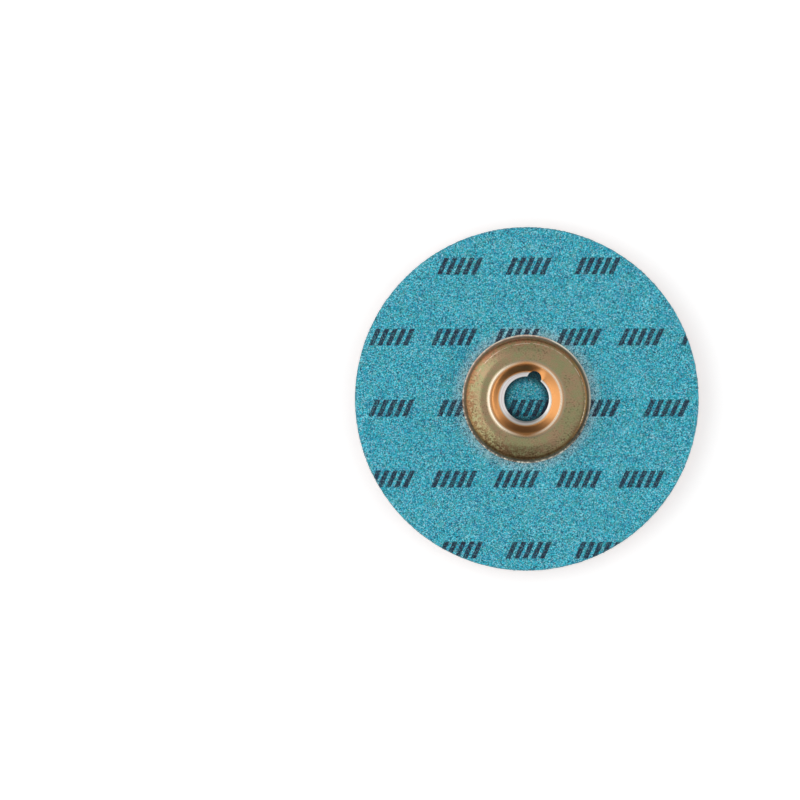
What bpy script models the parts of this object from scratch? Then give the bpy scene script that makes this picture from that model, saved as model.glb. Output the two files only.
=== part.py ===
"""Quick-change surface conditioning disc, 75 mm, with a threaded steel hub.

Metres, +Z up along the spin axis. The disc lies on its abrasive face with the hub on
top, and the origin is the centre of that face.
"""

import math

import bmesh
import bpy
from mathutils import Matrix, Vector, noise

MM = 0.001

# Disc: the web and the cloth are cut in one stroke
DISC_DIAMETER = 75.0 * MM
WEB_THICKNESS = 5.0 * MM
CLOTH_THICKNESS = 0.7 * MM
CLOTH_EDGE_BEVEL = 0.12 * MM
BOND_LINE = 0.3 * MM

# Relief of the web: a matted face with open voids in it. The voids follow a noise
# field, closed below one level of the noise and full depth from another.
VOID_SPACING = 4.6 * MM
VOID_DEPTH = 1.2 * MM
VOID_CLOSED_BELOW = 0.02
VOID_OPEN_ABOVE = 0.36
FINE_VOID_SCALE = 2.1
FINE_VOID_SHARE = 0.4
CUT_EDGE_RAGGEDNESS = 0.5 * MM
CUT_EDGE_ROUNDING = 0.7 * MM

# Hub: one stamped sheet, measured from the cloth upwards
HUB_DIAMETER = 28.0 * MM
HUB_HEIGHT = 4.2 * MM
HUB_SHEET = 0.8 * MM
HUB_EDGE_BEVEL = 0.1 * MM
FOOT_WIDTH = 0.28 * MM
SKIRT_RISE = 2.0 * MM
SKIRT_RUN = 0.45 * MM
CREST_DIAMETER = 15.7 * MM
BEAD_RISE = 0.25 * MM
BEAD_REACH = 0.85 * MM
LAND_WIDTH = 1.35 * MM
BORE_DIAMETER = 9.7 * MM
LIP_WIDTH = 1.2 * MM
LIP_DROP = 0.35 * MM

# Inside radii of the hub's folds, as the stamping tool leaves them
FOOT_FOLD = 0.15 * MM
SKIRT_FOLD = 0.6 * MM
DOME_FOLD = 2.4 * MM
BEAD_FOLD = 1.0 * MM
CREST_FOLD = 0.2 * MM
LIP_FOLD = 0.5 * MM

# Thread: the lip winds down by one pitch, clockwise from the notch
THREAD_PITCH = 1.6 * MM
LIP_CLEARANCE = 1.1 * MM
NOTCH_WIDTH = 3.1 * MM
NOTCH_DEPTH = 1.5 * MM
NOTCH_ANGLE = math.radians(69.5)
THREAD_END_MARGIN = math.radians(2.0)

# Adhesive ring under the dome
ADHESIVE_WIDTH = 2.5 * MM
SEAT_GAP = 0.3 * MM

# Resolution
WEB_RINGS = 29
WEB_EDGE_ROWS = 3
CLOTH_SEGMENTS = 128
HUB_SEGMENTS = 72
NOTCH_SEGMENTS = 32
SHARP_FROM = math.radians(35.0)

# Chords in each fold of the hub's section, in the order of hub_corners, and the most
# of a flat that the folds at its two ends may take
FOLD_CHORDS = [0, 1, 4, 2, 1, 5, 2, 0]
MOST_OF_A_FLAT = 0.96

# Places that follow from the sizes
CLOTH_BOTTOM = WEB_THICKNESS + BOND_LINE
HUB_SEAT = CLOTH_BOTTOM + CLOTH_THICKNESS + SEAT_GAP
NOTCH_HALF_ANGLE = math.asin(NOTCH_WIDTH / BORE_DIAMETER)
THREAD_START = NOTCH_ANGLE - NOTCH_HALF_ANGLE - THREAD_END_MARGIN
THREAD_RETURN = 2 * (NOTCH_HALF_ANGLE + THREAD_END_MARGIN)


def clear_scene():
    for item in list(bpy.data.objects):
        bpy.data.objects.remove(item, do_unlink=True)


def new_collection(name):
    collection = bpy.data.collections.new(name)
    bpy.context.scene.collection.children.link(collection)
    return collection


def linear(red, green, blue):
    """A colour given as 0 to 255 screen values, as the shader wants it."""
    def channel(value):
        share = value / 255
        return share / 12.92 if share <= 0.04045 else ((share + 0.055) / 1.055) ** 2.4
    return (channel(red), channel(green), channel(blue), 1.0)


def new_material(name, colour, roughness, metallic=0.0):
    material = bpy.data.materials.new(name)
    material.use_nodes = True
    shader = material.node_tree.nodes["Principled BSDF"]
    shader.inputs["Base Color"].default_value = colour
    shader.inputs["Roughness"].default_value = roughness
    shader.inputs["Metallic"].default_value = metallic
    material.diffuse_color = colour
    return material


def new_piece(name, mesh, collection, parent, height, material=None):
    """An object at a height above the abrasive face, on the disc's axis."""
    piece = bpy.data.objects.new(name, mesh)
    piece.location.z = height
    piece.parent = parent
    collection.objects.link(piece)
    if material:
        mesh.materials.append(material)
        mesh.shade_smooth()
    return piece


def turned_mesh(outline, segments, name):
    """A closed outline of (radius, height) points, turned round the axis."""
    builder = bmesh.new()
    corners = [builder.verts.new((point.x, 0.0, point.y)) for point in outline]
    for index, corner in enumerate(corners):
        builder.edges.new((corner, corners[(index + 1) % len(corners)]))
    guide = bpy.data.objects.new(name + "_outline", mesh_from(builder, name + "_outline"))
    bpy.context.scene.collection.objects.link(guide)
    turned = guide.modifiers.new("turned", "SCREW")
    turned.steps = segments
    turned.render_steps = segments
    turned.use_merge_vertices = True
    turned.merge_threshold = 0.00001
    graph = bpy.context.evaluated_depsgraph_get()
    mesh = bpy.data.meshes.new_from_object(guide.evaluated_get(graph))
    bpy.data.objects.remove(guide, do_unlink=True)
    mesh.name = name
    return mesh


def make_cutter(name, mesh, collection, parent, height):
    cutter = new_piece(name, mesh, collection, parent, height)
    cutter.hide_render = True
    cutter.display_type = "WIRE"
    return cutter


def mesh_from(builder, name):
    mesh = bpy.data.meshes.new(name)
    builder.to_mesh(mesh)
    builder.free()
    return mesh


# Web

def disc_grid(radius, rings):
    """An even grid of triangles: a six-sided fan, subdivided and pushed out to a circle."""
    side_step = math.pi / 3
    builder = bmesh.new()
    bmesh.ops.create_circle(builder, cap_ends=True, cap_tris=True, radius=radius, segments=6)
    bmesh.ops.subdivide_edges(
        builder, edges=builder.edges[:], cuts=rings - 1, use_grid_fill=True)
    for vert in builder.verts:
        angle = math.atan2(vert.co.y, vert.co.x)
        from_side_middle = angle - round(angle / side_step) * side_step
        vert.co *= math.cos(from_side_middle) / math.cos(side_step / 2)
    return builder


def openness(point):
    """How open the web is at this point, from 0 on matted fibres to 1 in a void."""
    place = Vector(point) / VOID_SPACING
    level = noise.noise(place) + FINE_VOID_SHARE * noise.noise(place * FINE_VOID_SCALE)
    share = (level - VOID_CLOSED_BELOW) / (VOID_OPEN_ABOVE - VOID_CLOSED_BELOW)
    share = min(max(share, 0.0), 1.0)
    return share * share * (3 - 2 * share)


def web_mesh():
    """A thick disc whose face and cut edge have the relief of a matted nonwoven."""
    edge_radius = DISC_DIAMETER / 2
    builder = disc_grid(edge_radius - CUT_EDGE_ROUNDING, WEB_RINGS)
    rim = [edge for edge in builder.edges if edge.is_boundary]
    for vert in builder.verts:
        vert.co.z = VOID_DEPTH * openness(vert.co)
    for vert in {vert for edge in rim for vert in edge.verts}:
        vert.co.z = min(vert.co.z, CUT_EDGE_ROUNDING / 2)
    for row in range(WEB_EDGE_ROWS + 1):
        share = row / WEB_EDGE_ROWS
        height = CUT_EDGE_ROUNDING + share * (WEB_THICKNESS - CUT_EDGE_ROUNDING)
        grown = bmesh.ops.extrude_edge_only(builder, edges=rim)["geom"]
        for vert in [item for item in grown if isinstance(item, bmesh.types.BMVert)]:
            outward = Vector((vert.co.x, vert.co.y, 0.0)).normalized()
            straight = outward * edge_radius + Vector((0.0, 0.0, height))
            ragged = CUT_EDGE_RAGGEDNESS * openness(straight) * (1 - share)
            vert.co = straight - outward * ragged
        rim = [item for item in grown if isinstance(item, bmesh.types.BMEdge)]
    bmesh.ops.edgeloop_fill(builder, edges=rim)
    bmesh.ops.recalc_face_normals(builder, faces=builder.faces)
    return mesh_from(builder, "abrasive_web")


def make_web(collection, parent):
    maroon = new_material("maroon_web", linear(122, 87, 79), 0.9)
    return new_piece("abrasive_web", web_mesh(), collection, parent, 0.0, maroon)


# Backing cloth

def make_cloth(collection, parent):
    builder = bmesh.new()
    bmesh.ops.create_cone(
        builder, cap_ends=True, segments=CLOTH_SEGMENTS, radius1=DISC_DIAMETER / 2,
        radius2=DISC_DIAMETER / 2, depth=CLOTH_THICKNESS)
    teal = new_material("teal_cloth", linear(66, 149, 167), 0.75)
    mesh = mesh_from(builder, "backing_cloth")
    cloth = new_piece(
        "backing_cloth", mesh, collection, parent, CLOTH_BOTTOM + CLOTH_THICKNESS / 2, teal)
    mesh.set_sharp_from_angle(angle=SHARP_FROM)
    bevel = cloth.modifiers.new("cut edge", "BEVEL")
    bevel.width = CLOTH_EDGE_BEVEL
    bevel.segments = 1
    return cloth


# Hub

def crest_corner(radius, land_end, lip_start):
    """The corner that the crest's arc rounds off, where the tangents from the end of
    the land and from the start of the lip meet. The arc's top stays at the hub's height."""
    centre = Vector((CREST_DIAMETER / 2, HUB_HEIGHT - radius))
    slopes = []
    for away, side in ((land_end - centre, 1), (lip_start - centre, -1)):
        slopes.append(math.atan2(side * away.x, away.y) - math.acos(radius / away.length))
    lean, half_turn = (slopes[0] - slopes[1]) / 2, sum(slopes) / 2
    return centre + Vector((math.sin(lean), math.cos(lean))) * radius / math.cos(half_turn)


def hub_corners(lip_height):
    """The corners of the hub's upper side from foot to bore, as (place, fold), where a
    place is (radius, height). The crest is a bead that stands proud of the land."""
    foot_end = HUB_DIAMETER / 2 - FOOT_WIDTH
    land = HUB_HEIGHT - BEAD_RISE
    land_end = Vector((CREST_DIAMETER / 2 + BEAD_REACH, land))
    lip_start = Vector((BORE_DIAMETER / 2 + LIP_WIDTH, lip_height + LIP_DROP))
    crest_fold = CREST_FOLD + HUB_SHEET
    return [
        (Vector((HUB_DIAMETER / 2, HUB_SHEET)), 0.0),
        (Vector((foot_end, HUB_SHEET)), FOOT_FOLD),
        (Vector((foot_end - SKIRT_RUN, HUB_SHEET + SKIRT_RISE)), SKIRT_FOLD + HUB_SHEET),
        (Vector((land_end.x + LAND_WIDTH, land)), DOME_FOLD + HUB_SHEET),
        (land_end, BEAD_FOLD),
        (crest_corner(crest_fold, land_end, lip_start), crest_fold),
        (lip_start, LIP_FOLD),
        (Vector((BORE_DIAMETER / 2, lip_height)), 0.0),
    ]


def fold_setbacks(corners):
    """Each corner's half turn, and how far along its flats its fold starts. Where two
    folds would take more than a flat has, both are made smaller."""
    places = [place for place, fold in corners]
    half_turns, setbacks = [0.0], [0.0]
    for before, (apex, fold), after in zip(places, corners[1:], places[2:]):
        half_turns.append((math.pi - (before - apex).angle(after - apex)) / 2)
        setbacks.append(fold * math.tan(half_turns[-1]))
    setbacks.append(0.0)
    for index in range(len(corners) - 1):
        room = (places[index + 1] - places[index]).length * MOST_OF_A_FLAT
        share = min(1.0, room / (setbacks[index] + setbacks[index + 1]))
        setbacks[index] *= share
        setbacks[index + 1] *= share
    return half_turns, setbacks


def rounded(corners, chords):
    """The section's points, with an arc at each fold."""
    half_turns, setbacks = fold_setbacks(corners)
    points = [corners[0][0]]
    for index in range(1, len(corners) - 1):
        apex = corners[index][0]
        back = (corners[index - 1][0] - apex).normalized()
        ahead = (corners[index + 1][0] - apex).normalized()
        half_turn = half_turns[index]
        start = apex + back * setbacks[index]
        radius = setbacks[index] / math.tan(half_turn)
        centre = apex + (back + ahead).normalized() * radius / math.cos(half_turn)
        side = 1 if back.x * ahead.y - back.y * ahead.x < 0 else -1
        steps = round(chords[index])
        for step in range(steps + 1):
            turned = side * 2 * half_turn * step / steps
            points.append(centre + Matrix.Rotation(turned, 2) @ (start - centre))
    points.append(corners[-1][0])
    return points


def lip_height_at(angle):
    """Height of the lip's upper edge above the seat: highest at the notch's start, one
    pitch lower where the turn ends, and back up across the notch."""
    lowest = LIP_CLEARANCE + HUB_SHEET
    turn = 2 * math.pi
    travelled = (THREAD_START - angle) % turn
    thread = turn - THREAD_RETURN
    if travelled <= thread:
        return lowest + THREAD_PITCH * (1 - travelled / thread)
    climbed = (travelled - thread) / THREAD_RETURN
    return lowest + THREAD_PITCH * climbed * climbed * (3 - 2 * climbed)


def hub_mesh():
    """The hub's upper side, lofted round the axis through sections with a winding lip."""
    builder = bmesh.new()
    rings = []
    for step in range(HUB_SEGMENTS):
        angle = 2 * math.pi * step / HUB_SEGMENTS
        section = rounded(hub_corners(lip_height_at(angle)), FOLD_CHORDS)
        rings.append([
            builder.verts.new((math.cos(angle) * radius, math.sin(angle) * radius, height))
            for radius, height in section])
    for step in range(HUB_SEGMENTS):
        here, there = rings[step - 1], rings[step]
        for row in range(len(here) - 1):
            builder.faces.new((here[row], there[row], there[row + 1], here[row + 1]))
    return mesh_from(builder, "hub")


def notch_cutter(collection, parent):
    """A round-ended slot from the bore: a cylinder whose inner half is slid to the axis."""
    end_centre = (BORE_DIAMETER - NOTCH_WIDTH) / 2 + NOTCH_DEPTH
    builder = bmesh.new()
    bmesh.ops.create_cone(
        builder, cap_ends=True, segments=NOTCH_SEGMENTS, radius1=NOTCH_WIDTH / 2,
        radius2=NOTCH_WIDTH / 2, depth=4 * HUB_HEIGHT)
    for vert in builder.verts:
        if vert.co.x < 0:
            vert.co.x -= end_centre
    outward = Matrix.Translation((end_centre, 0, 0))
    builder.transform(Matrix.Rotation(NOTCH_ANGLE, 4, "Z") @ outward)
    return make_cutter(
        "notch_cutter", mesh_from(builder, "notch_cutter"), collection, parent, HUB_SEAT)


def make_hub(collection, cutters, parent):
    zinc = new_material("yellow_zinc", linear(150, 132, 98), 0.32, 1.0)
    hub = new_piece("hub", hub_mesh(), collection, parent, HUB_SEAT, zinc)
    sheet = hub.modifiers.new("sheet", "SOLIDIFY")
    sheet.thickness = HUB_SHEET
    sheet.offset = -1.0
    sheet.use_even_offset = True
    sheet.use_quality_normals = True
    edges = hub.modifiers.new("blanked edges", "BEVEL")
    edges.width = HUB_EDGE_BEVEL
    edges.segments = 1
    edges.limit_method = "ANGLE"
    edges.angle_limit = math.radians(70)
    notch = hub.modifiers.new("notch", "BOOLEAN")
    notch.operation = "DIFFERENCE"
    notch.solver = "EXACT"
    notch.object = notch_cutter(cutters, parent)
    return hub


# Adhesive

def inset(corners, distance):
    """The corners of a section moved square to its flats, towards its hollow side."""
    places = [place for place, fold in corners]
    moved = []
    for before, apex, after in zip(places, places[1:], places[2:]):
        first = (apex - before).normalized()
        second = (after - apex).normalized()
        to_hollow = Vector((-first.y, first.x)) + Vector((-second.y, second.x))
        moved.append(apex + to_hollow * distance / (1 + first.dot(second)))
    return moved


def cut_at_height(low, high, height):
    return low.lerp(high, (height - low.y) / (high.y - low.y))


def cut_at_radius(outer, inner, radius):
    return outer.lerp(inner, (radius - outer.x) / (inner.x - outer.x))


def adhesive_outline():
    """The ring's section, from its inner top to its inner bottom: under skirt and dome."""
    lip = LIP_CLEARANCE + HUB_SHEET
    foot, shoulder, dome_top, bead = inset(hub_corners(lip), HUB_SHEET + SEAT_GAP)[:4]
    base = cut_at_height(foot, shoulder, 0.0)
    inner = base.x - ADHESIVE_WIDTH
    outline = [shoulder, base, Vector((inner, 0.0))]
    if inner < dome_top.x:
        return [cut_at_radius(dome_top, bead, inner), dome_top] + outline
    return [cut_at_radius(shoulder, dome_top, inner)] + outline


def make_adhesive(collection, parent):
    mesh = turned_mesh(adhesive_outline(), HUB_SEGMENTS, "hub_adhesive")
    amber = new_material("amber_adhesive", linear(176, 140, 84), 0.45)
    ring = new_piece("hub_adhesive", mesh, collection, parent, HUB_SEAT, amber)
    mesh.set_sharp_from_angle(angle=SHARP_FROM)
    return ring


def main():
    clear_scene()
    disc = new_collection("surface_conditioning_disc")
    cutters = new_collection("cutters")
    axis = bpy.data.objects.new("spin_axis", None)
    axis.empty_display_size = DISC_DIAMETER / 2
    disc.objects.link(axis)
    make_web(disc, axis)
    make_cloth(disc, axis)
    make_hub(disc, cutters, axis)
    make_adhesive(disc, axis)


if __name__ == "__main__":
    main()
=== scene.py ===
"""Surface conditioning disc, 75 mm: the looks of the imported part.

Laid out as a Blender add-on and run as a script. Metres, +Z up the spin axis. The disc
lies on its nonwoven web, with the printed cloth and the stamped hub on top.
"""

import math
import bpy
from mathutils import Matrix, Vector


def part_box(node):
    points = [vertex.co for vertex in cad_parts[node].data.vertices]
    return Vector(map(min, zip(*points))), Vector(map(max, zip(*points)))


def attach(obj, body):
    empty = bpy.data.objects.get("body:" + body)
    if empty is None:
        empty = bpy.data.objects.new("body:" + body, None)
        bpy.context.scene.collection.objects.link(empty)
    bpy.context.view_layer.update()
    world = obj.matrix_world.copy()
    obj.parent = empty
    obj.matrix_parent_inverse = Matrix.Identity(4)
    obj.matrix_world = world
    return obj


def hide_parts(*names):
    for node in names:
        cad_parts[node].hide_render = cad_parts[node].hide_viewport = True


bl_info = {
    "name": "Surface conditioning disc",
    "version": (1, 0, 0),
    "blender": (4, 5, 0),
    "location": "View3D > Sidebar > Disc",
    "description": "Nonwoven web, printed cloth and stamped hub round the packed disc",
    "category": "Object",
}

import bpy
from mathutils import Matrix, Vector, noise

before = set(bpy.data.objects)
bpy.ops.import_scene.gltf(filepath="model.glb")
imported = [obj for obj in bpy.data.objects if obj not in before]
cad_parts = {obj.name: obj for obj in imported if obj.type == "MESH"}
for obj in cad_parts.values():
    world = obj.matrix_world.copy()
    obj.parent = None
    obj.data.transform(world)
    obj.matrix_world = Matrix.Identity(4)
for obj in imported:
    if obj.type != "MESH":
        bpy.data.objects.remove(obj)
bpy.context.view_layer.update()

MM = 0.001

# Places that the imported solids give
DISC_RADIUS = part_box("backing_cloth")[1].x
CLOTH_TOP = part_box("backing_cloth")[1].z
WEB_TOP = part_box("abrasive_web")[1].z
HUB_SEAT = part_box("hub")[0].z
HUB_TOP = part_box("hub")[1].z
HUB_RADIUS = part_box("hub")[1].x

# Hub section: runs, rises and inside fold radii of the stamped sheet
FOOT_END = HUB_RADIUS - 0.28 * MM
SKIRT_RISE = 2.0 * MM
SKIRT_RUN = 0.45 * MM
BEAD_RISE = 0.25 * MM
BEAD_REACH = 0.85 * MM
LAND_WIDTH = 1.35 * MM
LIP_WIDTH = 1.2 * MM
LIP_DROP = 0.35 * MM
FOOT_FOLD = 0.15 * MM
SKIRT_FOLD = 0.6 * MM
DOME_FOLD = 2.4 * MM
BEAD_FOLD = 1.0 * MM
CREST_FOLD = 0.2 * MM
LIP_FOLD = 0.5 * MM
SHEET_EASE = 0.12 * MM
SECTION_STEP = 0.16 * MM

# Cloth and its printed rows, whose marks stand far apart and close together by turns
CLOTH_BASE = WEB_TOP + 0.02 * MM
CLOTH_EASE = 0.1 * MM
TOP_ROW = 29.0 * MM
ROW_PITCH = 15.5 * MM
WIDE_PITCH = 15.0 * MM
WIDE_SHIFT = 0.5 * MM
CLOSE_PITCH = 13.6 * MM
CLOSE_SHIFT = -2.2 * MM
MARK_HEIGHT = 3.7 * MM
BARS_IN_MARK = 5
BAR_PITCH = 1.85 * MM
BAR_WIDTH = 1.1 * MM
BAR_SLANT = 0.45

# Studio
FLOOR_RADIUS = 3.0
BOX_LENGTH = 1.0
BOX_DISTANCE = 0.75

# Steps round a circle
CORE_STEPS = 240
CLOTH_STEPS = 360
HUB_STEPS = 288
GUIDE_STEPS = 96


# Colours

def linear(red, green, blue):
    """A colour given as 0 to 255 screen values, as the shader wants it."""
    def channel(value):
        share = value / 255
        return share / 12.92 if share <= 0.04045 else ((share + 0.055) / 1.055) ** 2.4
    return (channel(red), channel(green), channel(blue), 1.0)


# Node trees, written as arithmetic

def put(tree, socket, value):
    if isinstance(value, Field):
        tree.links.new(value.socket, socket)
    else:
        socket.default_value = value


def make(tree, kind, inputs=None, output=0, **settings):
    """A new node with its settings and inputs, given back as one of its outputs."""
    node = tree.nodes.new(kind)
    for name, value in settings.items():
        setattr(node, name, value)
    for name, value in (inputs or {}).items():
        put(tree, node.inputs[name], value)
    return Field(tree, node.outputs[output])


class Field:
    """An output of a node, to be used in sums."""

    def __init__(self, tree, socket):
        self.tree = tree
        self.socket = socket

    def other(self, output):
        """Another output of the same node."""
        return Field(self.tree, self.socket.node.outputs[output])

    def to(self, operation, *others, first=None):
        """A math operation on this value and the others, or on first and this value."""
        values = [self, *others] if first is None else [first, self]
        return make(
            self.tree, "ShaderNodeMath", dict(enumerate(values)), operation=operation)

    def __add__(self, other):
        return self.to("ADD", other)

    def __sub__(self, other):
        return self.to("SUBTRACT", other)

    def __mul__(self, other):
        return self.to("MULTIPLY", other)

    def __truediv__(self, other):
        return self.to("DIVIDE", other)

    def __rsub__(self, other):
        return self.to("SUBTRACT", first=other)

    __radd__ = __add__
    __rmul__ = __mul__


def rise(value, low, high):
    """0 below low and 1 above high, with a soft change between. It falls if low is the
    greater."""
    return make(
        value.tree, "ShaderNodeMapRange",
        {"Value": value, "From Min": low, "From Max": high},
        interpolation_type="SMOOTHSTEP")


def band(value, low, high, soft):
    """1 between low and high, and 0 outside."""
    return rise(value, low - soft, low + soft) * rise(value, high + soft, high - soft)


def mix(share, first, second, blend="MIX"):
    """The first colour, with this share of the second over it."""
    return make(
        share.tree, "ShaderNodeMix", {0: share, 6: first, 7: second}, output=2,
        data_type="RGBA", blend_type=blend)


def ramp(value, stops):
    """A colour that changes with the value through (place, colour) stops."""
    tree = value.tree
    node = tree.nodes.new("ShaderNodeValToRGB")
    elements = node.color_ramp.elements
    while len(elements) < len(stops):
        elements.new(0.5)
    for element, (place, colour) in zip(elements, stops):
        element.position = place
        element.color = colour
    put(tree, node.inputs[0], value)
    return Field(tree, node.outputs[0])


def grain(place, size, detail=2.0, roughness=0.5, output=0):
    """Noise whose lumps are about this size, in metres."""
    return make(
        place.tree, "ShaderNodeTexNoise",
        {"Vector": place, "Scale": 1 / size, "Detail": detail, "Roughness": roughness},
        output=output)


def cells(place, size, feature="F1", output="Distance"):
    """A pattern of cells about this size, in metres."""
    return make(
        place.tree, "ShaderNodeTexVoronoi", {"Vector": place, "Scale": 1 / size},
        output=output, feature=feature)


def new_material(name):
    """A node material: its tree, its shader and the piece's Object coordinates."""
    material = bpy.data.materials.new(name)
    material.use_nodes = True
    tree = material.node_tree
    shader = tree.nodes["Principled BSDF"]
    place = make(tree, "ShaderNodeTexCoord", output="Object")
    return material, tree, shader, place


def bump(tree, shader, height, distance, strength=1.0):
    normal = make(
        tree, "ShaderNodeBump",
        {"Height": height, "Distance": distance, "Strength": strength})
    put(tree, shader.inputs["Normal"], normal)


def scaled(vector, factor):
    return make(
        vector.tree, "ShaderNodeVectorMath", {0: vector, "Scale": factor}, operation="SCALE")


def split(place):
    """The x, y and z of a place."""
    parts = make(place.tree, "ShaderNodeSeparateXYZ", {0: place})
    return parts, parts.other(1), parts.other(2)


def radius_of(x, y):
    return (x * x + y * y).to("SQRT")


def own_shade(tree):
    """The random shade that each fibre and each cut thread carries."""
    return make(tree, "ShaderNodeAttribute", output="Fac", attribute_name="shade")


# Materials

def printed_marks(x, y):
    """1 on the slanted bars of the printed marks, in rows with two pitches by turns."""
    row = ((TOP_ROW - y) / ROW_PITCH).to("ROUND")
    across = y - (TOP_ROW - row * ROW_PITCH)
    close = row.to("MODULO", 2.0)
    wide = 1.0 - close
    pitch = wide * WIDE_PITCH + close * CLOSE_PITCH
    along = x - (wide * WIDE_SHIFT + close * CLOSE_SHIFT)
    along = along - (along / pitch).to("ROUND") * pitch
    slanted = along - across * BAR_SLANT
    bar = slanted - (slanted / BAR_PITCH).to("ROUND") * BAR_PITCH
    half_mark = BARS_IN_MARK * BAR_PITCH / 2
    return (
        rise(bar.to("ABSOLUTE"), BAR_WIDTH / 2 + 0.07 * MM, BAR_WIDTH / 2 - 0.07 * MM)
        * band(slanted, -half_mark, half_mark, 0.05 * MM)
        * band(across, -MARK_HEIGHT / 2, MARK_HEIGHT / 2, 0.1 * MM))


def cloth_material(look):
    """Resin-coated teal cloth: speckled grain, ink with wear, painted light in pale specks
    beside the hub and painted shade under its dome."""
    material, tree, shader, place = new_material("teal_cloth")
    x, y = split(place)[:2]
    radius = radius_of(x, y)
    fine = grain(place, 0.15 * MM, 2.0, 0.7)
    coarse = grain(place, 0.7 * MM, 1.0)
    patches = grain(place, 7.0 * MM, 2.0)
    speck = cells(place, 0.16 * MM, output="Color")
    chances = make(tree, "ShaderNodeSeparateColor", {0: speck})
    tone = fine * 0.35 + coarse * 0.05 + chances * 0.6 + (patches - 0.5) * 0.08
    colour = ramp(tone, [
        (0.25, look.cloth_dark), (0.46, look.cloth_colour),
        (0.68, look.cloth_light), (0.84, look.fleck_colour)])

    hue = grain(place, 1.3 * MM, 1.0)
    colour = mix(rise(hue, 0.54, 0.68) * 0.3, colour, linear(62, 164, 156))
    colour = mix(rise(hue, 0.46, 0.32) * 0.3, colour, linear(16, 136, 184))
    lilac = rise(chances.other(1), 0.86, 0.94) * 0.42
    colour = mix(lilac, colour, linear(166, 184, 216))

    covered = rise(radius, HUB_RADIUS - 0.1 * MM, HUB_RADIUS - 1.0 * MM)
    # Painted light: the cloth beside the hub is paled in specks, lifting the shade that the hub
    # casts there.
    beside = rise(radius, HUB_RADIUS + 2.8 * MM, HUB_RADIUS + 0.2 * MM) * (1.0 - covered)
    lightened = rise(tone, 0.36, 0.62) * 0.5 + rise(coarse, 0.35, 0.7) * 0.22
    colour = mix(beside * lightened, colour, linear(200, 234, 242))
    shaded = rise(radius, 3.2 * MM, 5.0 * MM) * covered
    colour = mix(shaded * 0.8, colour, linear(8, 34, 42))

    wear_and_highlight = rise(fine * 0.5 + chances.other(2) * 0.5, 0.28, 0.52)
    ink = printed_marks(x, y) * (wear_and_highlight * 0.48 + 0.5)
    colour = mix(ink, colour, look.ink_colour)
    rim = rise(radius, DISC_RADIUS - 0.35 * MM, DISC_RADIUS - 0.02 * MM)
    colour = mix(rim * 0.4, colour, linear(112, 150, 156))
    put(tree, shader.inputs["Base Color"], colour)
    put(tree, shader.inputs["Roughness"], fine * 0.3 + 0.42)
    shader.inputs["Specular IOR Level"].default_value = 0.35
    bump(tree, shader, fine * 0.6 + chances * 0.4, 0.1 * MM, 0.8)
    return material


def cut_thread_material(look):
    material, tree, shader, place = new_material("cut_cloth_threads")
    colour = mix(own_shade(tree), look.thread_dark, look.thread_light)
    put(tree, shader.inputs["Base Color"], colour)
    put(tree, shader.inputs["Roughness"], grain(place, 0.2 * MM) * 0.3 + 0.5)
    bump(tree, shader, grain(place, 0.08 * MM), 0.02 * MM)
    return material


def fibre_material(look):
    """Nylon fibre with a resin coat full of abrasive grain, darker the deeper it lies as painted
    shade.
    """
    material, tree, shader, place = new_material("maroon_fibre")
    grit = grain(place, 0.16 * MM, 2.0, 0.65)
    clumps = grain(place, 2.6 * MM, 2.0)
    tone = own_shade(tree) * 0.5 + grit * 0.45 + (clumps - 0.5) * 0.5
    colour = ramp(tone, [
        (0.18, look.fibre_dark), (0.5, look.fibre_colour), (0.82, look.fibre_light)])
    x, y, z = split(place)
    # Painted shade: fibres deeper in from the face or the edge darken towards the depth's
    # colour.
    depth = z.to("MINIMUM", DISC_RADIUS - radius_of(x, y))
    colour = mix(rise(depth, 0.35 * MM, 1.3 * MM) * 0.85, colour, look.depth_shade_colour)
    put(tree, shader.inputs["Base Color"], colour)
    put(tree, shader.inputs["Roughness"], grit * 0.35 + 0.4)
    shader.inputs["Specular IOR Level"].default_value = 0.4
    bump(tree, shader, grit, 0.06 * MM)
    return material


def core_material(look):
    """The matted fibres in the web's depth: two nets of curled strands over a dark ground, the
    web's maroon darkened as painted shade.
    """
    material, tree, shader, place = new_material("web_depth")
    clumps = grain(place, 2.2 * MM, 2.0)
    swirl = scaled(grain(place, 1.6 * MM, 2.0, output=1), 1.4 * MM)
    curled = make(tree, "ShaderNodeVectorMath", {0: place, 1: swirl}, operation="ADD")
    coarse_net, fine_net = (
        rise(cells(curled, mesh_size, "DISTANCE_TO_EDGE"), 0.20, 0.04)
        for mesh_size in (1.25 * MM, 0.8 * MM))
    mat = coarse_net.to("MAXIMUM", fine_net * 0.7)
    grit = grain(place, 0.2 * MM, 2.0, 0.6)
    colour = ramp(mat * 0.6 + grit * 0.25 + clumps * 0.3, [
        (0.22, linear(22, 8, 6)), (0.5, look.depth_shade_colour), (0.9, look.fibre_dark)])
    put(tree, shader.inputs["Base Color"], colour)
    shader.inputs["Roughness"].default_value = 0.9
    shader.inputs["Specular IOR Level"].default_value = 0.2
    bump(tree, shader, mat + grit * 0.2, 0.3 * MM)
    return material


def on_dome(from_edge):
    """1 on the dome, by the distance in from the hub's edge."""
    return band(from_edge, 0.5 * MM, 5.6 * MM, 0.4 * MM)


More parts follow.
